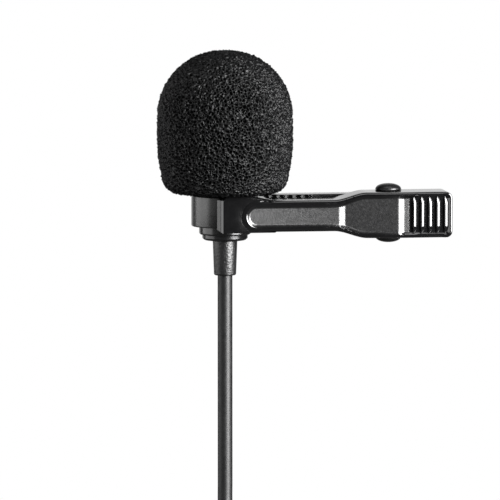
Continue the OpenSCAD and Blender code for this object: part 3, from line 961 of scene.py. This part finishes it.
# %% [markdown]
# Turned metal parts
#
# The barrel, the end cap and the rivet's domed heads come off a lathe, so they are turned here too,
# with small chamfers that give each of them a bright line.

# %% Barrel, end cap and strain relief
def heights(node):
    return [corner.z for corner in box_mm(node)]


def half_width(node):
    low, high = box_mm(node)
    return (high.x - low.x) / 2


def turned_piece(name, node, finish, outline, radius, steps=4):
    """A turned piece of the microphone with rounded edges."""
    return placed(name, turned(rounded(outline, radius, steps)), finish, "microphone", node)


barrel_low, barrel_high = heights("mic_barrel")
cap_low, cap_top = heights("end_cap")
boot_low, boot_top = heights("strain_relief")
turned_piece("barrel", "mic_barrel", "dark_metal", [
    (3.7, barrel_low), (3.95, barrel_low), (4.15, barrel_low + 0.2), (4.15, barrel_high),
    (3.7, barrel_high)], 0.07)
turned_piece("end_cap", "end_cap", "dark_metal", [
    (1.35, cap_low), (3.3, cap_low), (3.65, cap_low + 0.3), (3.65, barrel_low), (3.69, barrel_low),
    (3.69, cap_top), (2.8, cap_top), (2.8, barrel_low + 0.8), (1.35, barrel_low + 0.8)], 0.1)
boot = turned_piece("strain_relief", "strain_relief", "boot", [
    (0, boot_low), (1.775, boot_low), (1.975, cap_low + 0.02), (1.3, cap_low + 0.02), (1.3, boot_top),
    (0, boot_top)], 0.3, 6)

# %% Rivet with domed heads
SHANK_R = 0.8
rivet_high = heights("pivot_rivet")[1]
head_low, head_r = GRIP_HALF + 0.02, half_width("pivot_rivet")
crown_low = head_low + 0.16
crown = [(head_r * math.cos(a) ** 0.9 * 0.96, crown_low + (rivet_high - crown_low) * math.sin(a))
         for a in (math.pi / 2 * t for t in on_the_way(12))]
rivet = rounded([(0, 0), (SHANK_R, 0), (SHANK_R, head_low), (head_r * 0.9, head_low),
                 (head_r, head_low + 0.1), *crown, (0, rivet_high)], 0.06, 2)
half_rivet = turned(rivet, 64, Vector((PIVOT.x, PIVOT.y, 0)) * MM)
other_half = half_rivet.copy()
for vertex in other_half.vertices:
    vertex.co.z *= -1
other_half.flip_normals()
placed("pivot_rivet", joined(half_rivet, other_half), "rivet_metal", "clip_front",
       "pivot_rivet")

# %% [markdown]
# The torsion spring
# The spring is wire wound on the rivet, with a leg under each grip. A Geometry Nodes tree sweeps a
# round section along its centreline. Each end stays with its jaw, so the coils twist as it opens.

# %% Torsion spring
def sweep_tree():
    tree, given, end = new_tree("wire_along_a_line", "Wire", {
        "Line": "Geometry", "Radius": "Float", "Sides": "Int", "Finish": "Material"})
    path = add_node(tree, "GeometryNodeMeshToCurve", {"Mesh": given["Line"]})
    inputs = {"Radius": given["Radius"], "Resolution": given["Sides"]}
    section = add_node(tree, "GeometryNodeCurvePrimitiveCircle", inputs)
    inputs = {"Curve": path.outputs["Curve"], "Profile Curve": section.outputs["Curve"], "Fill Caps": True}
    sweep = add_node(tree, "GeometryNodeCurveToMesh", inputs)
    return made_real(tree, sweep.outputs["Mesh"], given["Finish"], end)


SPRING_WIRE = 0.5
SPRING_TURNS = 4.5
PER_TURN = 24
coil_r = SHANK_R + 0.25 + SPRING_WIRE / 2
coil_pitch = SPRING_WIRE * 1.3
spring_low, spring_high = box_mm("torsion_spring")
leg_x = spring_high.x - SPRING_WIRE / 2
coil = []
for k in range(int(SPRING_TURNS * PER_TURN) + 1):
    a = math.radians(-90 - 360 / PER_TURN * k)
    coil.append(Vector((PIVOT.x + coil_r * math.cos(a), PIVOT.y + coil_r * math.sin(a),
                        coil_pitch * (k / PER_TURN - SPRING_TURNS / 2))))
front_leg = Vector((leg_x, spring_low.y + SPRING_WIRE / 2, coil[0].z))
back_leg = Vector((leg_x, spring_high.y - SPRING_WIRE / 2, coil[-1].z))
spring_line = [front_leg.lerp(coil[0], t) for t in on_the_way(10)] + coil
spring_line += [coil[-1].lerp(back_leg, k / 10) for k in range(1, 11)]
line = bpy.data.meshes.new("line")
line.from_pydata([p * MM for p in spring_line], [(k, k + 1) for k in range(len(spring_line) - 1)], [])
values = {"Radius": SPRING_WIRE / 2 * MM, "Sides": 12, "Finish": FINISH["steel"]}
bm = bmesh.new()
bm.from_mesh(through_nodes(line, sweep_tree(), values))
spring = placed("torsion_spring", tidy_mesh(bm), "steel", None, "torsion_spring")
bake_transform(spring)

# %% [markdown]
# The foam windscreen
#
# Open-cell foam is a net of thin struts round small cells. A smooth closed shape with even triangles
# goes through a Geometry Nodes tree that pushes every cell inwards, by its distance to the nearest
# wall. Real hollows give foam its rough outline and its sparkle from every side.

# %% Smooth body of the foam
foam_low, foam_high = heights("foam_windscreen")
FOAM_R = half_width("foam_windscreen")
FOAM_H = foam_high - foam_low
DISH_R = FOAM_R * 0.69
BORE_R = 4.2
BORE_TOP = barrel_high + 0.75 - foam_low
dome_low = FOAM_H - FOAM_R * 0.99
foam_line = [(FOAM_R * math.cos(a) ** 0.94, dome_low + (FOAM_H - dome_low) * math.sin(a))
             for a in map(math.radians, range(90, 0, -5))]
foam_line += [(FOAM_R, FOAM_H * 0.36), (FOAM_R * 0.985, FOAM_H * 0.25)]
foam_line += [(FOAM_R * (0.7 + 0.24 * math.sin(a)), FOAM_R * 0.27 * (1 - math.cos(a)))
              for a in map(math.radians, range(90, -1, -15))]
foam_line += [(DISH_R + 0.05, 0.05), (DISH_R, 0.36), (DISH_R - 0.3, 0.4), (BORE_R + 0.3, 0.4),
              (BORE_R, 0.7), (BORE_R, BORE_TOP - 0.3), (BORE_R - 0.3, BORE_TOP), (0, BORE_TOP)]
HIDDEN_SHARE = 0.15
FOAM_STEPS = 4000


def even_steps(line, count):
    """Points at equal steps of the area that the line sweeps; the hidden inside counts for less."""
    points = [Vector((max(p[0], 0), p[1])) for p in line]
    fine = [a.lerp(b, k / 20) for a, b in zip(points, points[1:]) for k in range(20)] + [points[-1]]
    swept = [0.0]
    for a, b in zip(fine, fine[1:]):
        share = HIDDEN_SHARE if b.x <= DISH_R and a.y < BORE_TOP + 0.1 else 1.0
        swept.append(swept[-1] + share * (b - a).length * max((a.x + b.x) / 2, 0.02))
    made, k = [], 0
    for s in range(count + 1):
        wanted = swept[-1] * s / count
        while k < len(fine) - 2 and swept[k + 1] < wanted:
            k += 1
        t = (wanted - swept[k]) / (swept[k + 1] - swept[k])
        made.append(fine[k].lerp(fine[k + 1], min(max(t, 0), 1)))
    return made


def foam_body(levels):
    """An even net of triangles on a ball, moved to the foam's outline by equal areas."""
    table = even_steps(foam_line, FOAM_STEPS)
    bm = bmesh.new()
    bmesh.ops.create_icosphere(bm, subdivisions=levels, radius=1)
    for vertex in bm.verts:
        x, y, z = vertex.co.normalized()
        place = (1 - z) / 2 * FOAM_STEPS
        k = min(int(place), FOAM_STEPS - 1)
        point = table[k].lerp(table[k + 1], place - k)
        flat = math.hypot(x, y) or 1
        out = Vector((x, y)) * point.x * MM / flat
        vertex.co = (*(AXIS.xy + out), (foam_low + point.y) * MM)
    data = bpy.data.meshes.new("foam_body")
    bm.to_mesh(data)
    bm.free()
    data.shade_smooth()
    return data


# %% Cells of the foam
def foam_tree():
    tree, given, end = new_tree("open_cells", "Foam", {
        "Body": "Geometry", "Cell size": "Float", "Cell depth": "Float", "Unevenness": "Float",
        "Seed": "Float", "Finish": "Material"})

    def scaled(vector, factor):
        inputs = {"Vector": vector, "Scale": factor}
        return add_node(tree, "ShaderNodeVectorMath", inputs, operation="SCALE").outputs["Vector"]

    place = add_node(tree, "GeometryNodeInputPosition").outputs["Position"]
    point = scaled(place, math_node(tree, "DIVIDE", 1.0, given["Cell size"]))
    cells = add_node(tree, "ShaderNodeTexVoronoi", voronoi_dimensions="4D", feature="DISTANCE_TO_EDGE")
    cells.inputs["Scale"].default_value = 1.0
    tree.links.new(point, cells.inputs["Vector"])
    tree.links.new(given["Seed"], cells.inputs["W"])
    inputs = {"Value": cells.outputs["Distance"], "From Min": 0.02, "From Max": 0.22}
    soft = add_node(tree, "ShaderNodeMapRange", inputs, interpolation_type="SMOOTHSTEP").outputs["Result"]
    inputs = {"Vector": point, "Scale": 1.1, "Detail": 3.0}
    rough = math_node(tree, "SUBTRACT", add_node(tree, "ShaderNodeTexNoise", inputs).outputs["Fac"], 0.62)
    swell = math_node(tree, "MULTIPLY", rough, given["Unevenness"])
    dip = math_node(tree, "MULTIPLY", soft, given["Cell depth"])
    normal = add_node(tree, "GeometryNodeInputNormal").outputs["Normal"]
    # the strut share is kept on the mesh; the foam's material paints shade into the cell bottoms from it
    inputs = {"Geometry": given["Body"], "Name": "strut_and_painted_pit_shade", "Value": math_node(tree, "SUBTRACT", 1.0, soft)}
    keep = add_node(tree, "GeometryNodeStoreNamedAttribute", inputs, data_type="FLOAT", domain="POINT")
    inputs = {"Geometry": keep.outputs["Geometry"],
              "Offset": scaled(normal, math_node(tree, "SUBTRACT", swell, dip))}
    move = add_node(tree, "GeometryNodeSetPosition", inputs)
    return made_real(tree, move.outputs["Geometry"], given["Finish"], end)


foam_data = through_nodes(foam_body(8), foam_tree(), {
    "Cell size": 0.54 * MM, "Cell depth": 0.6 * MM, "Unevenness": 0.9 * MM, "Seed": 3.0,
    "Finish": FINISH["foam"]})
foam_data.shade_smooth()
foam = placed("foam_windscreen", foam_data, "foam", "windscreen", "foam_windscreen")

# %% [markdown]
# The hank's tie
#
# A strap of woven hook-and-loop tape goes once round the hank, and its end lies over its start at the
# front: a section lofted along a path that steps out by its own thickness.

# %% Tie
TIE_T = 0.8
TIE_CORNER = 3.2
TIE_START = -2       # the strap begins there, left of the middle of the front
TIE_OVERLAP = 7.5
tie_low, tie_high = box_mm("hank_tie")
tie_mid, tie_half = (tie_low + tie_high) / 2, (tie_high.z - tie_low.z) / 2
outside = CABLE_D / MM / 2 + 0.1 + TIE_T / 2
loop_x, loop_y = OUTER_TURN + outside, (LAYERS - 1) / 2 * LAYER + outside


def four_corners(half_x, half_y, radius, steps):
    corners = [(-half_x, -half_y), (half_x, -half_y), (half_x, half_y), (-half_x, half_y)]
    return rounded(corners, radius, steps, turning=False)


loop = four_corners(loop_x, loop_y, TIE_CORNER, 8)
first = next(k for k, p in enumerate(loop) if p.y < -loop_y + 0.01 and p.x > 0)
strap_end = Vector((TIE_START, -loop_y))
loop = [strap_end, *loop[first:], *loop[:first], strap_end]
loop = [a.lerp(b, t) for a, b in zip(loop, loop[1:]) for t in on_the_way(4)] + [strap_end]
for k in range(1, 13):
    step_out = TIE_T * 1.02 * eased(min(k / 3, 1))
    loop.append(Vector((TIE_START + TIE_OVERLAP * k / 12, -loop_y - step_out)))
band = four_corners(TIE_T / 2, tie_half, 0.25, 3)
rings = []
for k, point in enumerate(loop):
    ahead = (loop[min(k + 1, len(loop) - 1)] - loop[max(k - 1, 0)]).normalized()
    out = Vector((ahead.y, -ahead.x))
    rings.append([(*(tie_mid.xy + point + out * p.x), tie_mid.z + p.y) for p in band])
tie = placed("hank_tie", loft(rings), "tie", "microphone", "hank_tie")

# %% [markdown]
# The plug
#
# The plug has a soft boot with flex rings, a turned shell with two fine grooves, and four gold
# contacts with insulators between them. The boot's rings are the row tree again.

# %% Plug boot and shell
FLEX_RINGS = 4
low, high = heights("plug_boot")
boot_r = half_width("plug_boot")
core = turned(rounded([(0, low), (boot_r, low), (boot_r, low + 0.8), (1.75, high),
                                    (0, high)], 0.25), 64)
flex_ring = turned(rounded([(1.2, low + 1.5), (2.55, low + 1.5), (2.5, low + 2.05),
                                         (1.2, low + 2.05)], 0.14, 3), 64)
flex_rings = in_a_row(flex_ring, FLEX_RINGS, (0, 0, 1.0), "boot")
plug_boot = placed("plug_boot", joined(core, flex_rings), "boot", "microphone", "plug_boot")

low, high = heights("plug_shell")
shell_r = half_width("plug_shell")


def shell_groove(z):
    return [(shell_r, z - 0.2), (shell_r - 0.2, z), (shell_r - 0.2, z + 0.2), (shell_r, z + 0.4)]


plug_shell = turned_piece("plug_shell", "plug_shell", "dark_metal", [
    (0, low), (shell_r - 0.9, low), (shell_r - 0.25, low + 0.7), (shell_r - 0.25, low + 1.6),
    (shell_r, low + 1.9), *shell_groove(high - 7.2), *shell_groove(high - 1.6), (shell_r, high - 0.3),
    (shell_r - 0.3, high), (0, high)], 0.08, 2)

# %% Plug contacts
contacts = [placed(node, softened(node, 0.07, 28), NODE_SLOT[node], "microphone", node)
            for node in ("plug_sleeve", "plug_ring_upper", "plug_ring_lower", "plug_tip", "plug_insulators")]

# %% [markdown]
# Light and backdrop
#
# Glossy black shows only what it reflects, so soft lights stand in a dark studio: the key on the right
# front, a large weak fill on the left front, one on the left rear for the left edges, a small one
# above, and a weak one for the foam alone. The backdrop is white to the camera and behind, so flat tops
# seen at a low angle mirror it. The floor is a pale round table well below the microphone.

# %% Floor
FLOOR_RADIUS = 0.7
floor_z = cad_box[0][2] - 10 * MM
floor_mesh = bmesh.new()
bmesh.ops.create_circle(floor_mesh, cap_ends=True, radius=FLOOR_RADIUS, segments=128)
floor_data = bpy.data.meshes.new("floor")
floor_mesh.to_mesh(floor_data)
floor_mesh.free()
floor = in_scene("floor", floor_data)
floor.location.z = floor_z
grey = (0.5, 0.5, 0.5)
floor_finish = new_material("floor", grey, 0.9)
floor_finish.node_tree.nodes[SHADER].inputs["Emission Color"].default_value = (*grey, 1)
floor_ray = add_node(floor_finish.node_tree, "ShaderNodeLightPath")
feed(floor_finish, "Emission Strength", floor_ray.outputs["Is Camera Ray"])
floor.data.materials.append(floor_finish)
floor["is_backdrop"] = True

# %% Backdrop
bpy.context.scene.view_settings.view_transform = "Standard"
world = bpy.data.worlds.new("backdrop")
bpy.context.scene.world = world
world.use_nodes = True
studio = world.node_tree
direction = add_node(studio, "ShaderNodeTexCoord").outputs["Generated"]
apart = add_node(studio, "ShaderNodeSeparateXYZ", {"Vector": direction})
behind = {"Value": apart.outputs["Y"], "From Min": 0.75, "From Max": 0.95, "To Min": 0.02, "To Max": 1.0}
behind = add_node(studio, "ShaderNodeMapRange", behind).outputs["Result"]
ray = add_node(studio, "ShaderNodeLightPath").outputs["Is Camera Ray"]
seen = add_node(studio, "ShaderNodeMix", {"Factor": ray, "A": behind, "B": 1.0}).outputs["Result"]
backdrop = studio.nodes["Background"]
backdrop.inputs["Color"].default_value = (1, 1, 1, 1)
studio.links.new(seen, backdrop.inputs["Strength"])

# %% Studio lights


def soft_light(name, azimuth, elevation, distance, size, watts):
    """A rectangular light that looks at the microphone; azimuth is to the right of the front."""
    data = bpy.data.lights.new(name, "AREA")
    data.shape = "RECTANGLE"
    data.size, data.size_y = size
    data.energy = watts
    made = in_scene(name, data)
    a, e = math.radians(azimuth), math.radians(elevation)
    towards = Vector((math.sin(a) * math.cos(e), -math.cos(a) * math.cos(e), math.sin(e)))
    made.location = towards * distance
    made.rotation_euler = towards.to_track_quat("Z", "Y").to_euler()
    return made


key = soft_light("key_right_front", 43, 12, 0.7, (0.5, 0.55), 13)
key.data.spread = math.radians(80)
soft_light("fill_left_front", -58, 12, 1.2, (1.2, 0.9), 3.0)
rim = soft_light("rim_left_rear", -96, 8, 0.7, (0.8, 0.6), 5)
soft_light("top", 0, 85, 0.7, (0.4, 0.3), 1.6)
foam_fill = soft_light("foam_fill_left", -62, 10, 0.7, (0.5, 0.5), 5.5)
# The key and the rim light leave out the floor, and the foam's fill lights nothing else.
for name, piece, state, lamps in (("all_but_the_floor", floor, "EXCLUDE", (key, rim)),
                                  ("the_foam_alone", foam, "INCLUDE", (foam_fill,))):
    linked = bpy.data.collections.new(name)
    linked.objects.link(piece)
    linked.collection_objects[0].light_linking.link_state = state
    for lamp in lamps:
        lamp.light_linking.receiver_collection = linked

# %% Finish
low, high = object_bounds()
